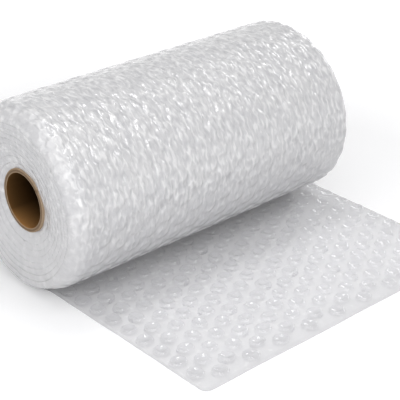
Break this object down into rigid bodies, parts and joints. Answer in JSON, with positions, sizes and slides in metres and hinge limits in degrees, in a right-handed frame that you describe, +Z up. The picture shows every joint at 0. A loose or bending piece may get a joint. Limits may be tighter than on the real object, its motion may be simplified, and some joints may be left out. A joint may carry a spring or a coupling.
{
  "type": "bubble wrap roll",
  "caption": "Roll of clear bubble film wound on a cardboard tube and lying on its side, with the free end of the film run out flat in front of it, bubbles up.",
  "frame": {"origin": "on the floor, in the flat underside of the film, below the middle of the roll's length", "axes": "+Z up, +Y along the roll's axis away from the end that shows in the picture, +X the way the free end runs out"},
  "size_m": [0.2926, 0.3205, 0.1606],
  "materials": {
    "tube_board": "plain brown board",
    "bubble_film": "clear glossy film, milky where it lies in layers"
  },
  "bodies": {
    "root": {"core_tube": "tube_board", "bubble_wrap": "bubble_film"}
  },
  "joints": []
}
